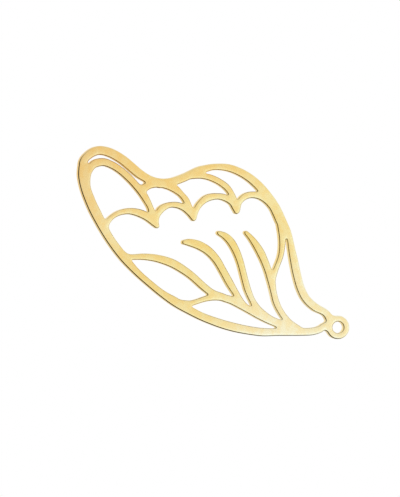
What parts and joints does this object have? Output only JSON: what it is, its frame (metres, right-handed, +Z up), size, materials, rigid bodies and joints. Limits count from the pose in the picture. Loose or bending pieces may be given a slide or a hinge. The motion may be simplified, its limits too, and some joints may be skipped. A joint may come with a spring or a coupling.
{
  "type": "openwork butterfly wing pendant",
  "caption": "Flat openwork butterfly wing pendant of gold-coloured sheet metal, cut through into veins and scallops, with an integral hanging loop.",
  "frame": {"origin": "centre of the bore of the hanging loop, halfway through the sheet", "axes": "+Z up along the hanging pendant, from the wing tip to the loop; the pictured face looks towards -Y; +X to the right of that face"},
  "size_m": [0.016, 0.0008, 0.0339],
  "materials": {
    "gold_metal": "satin gold-coloured plating with a very fine grain, edges slightly brighter, peach-gold to pale gold with the light"
  },
  "bodies": {
    "root": {"wing": "gold_metal"}
  },
  "joints": []
}
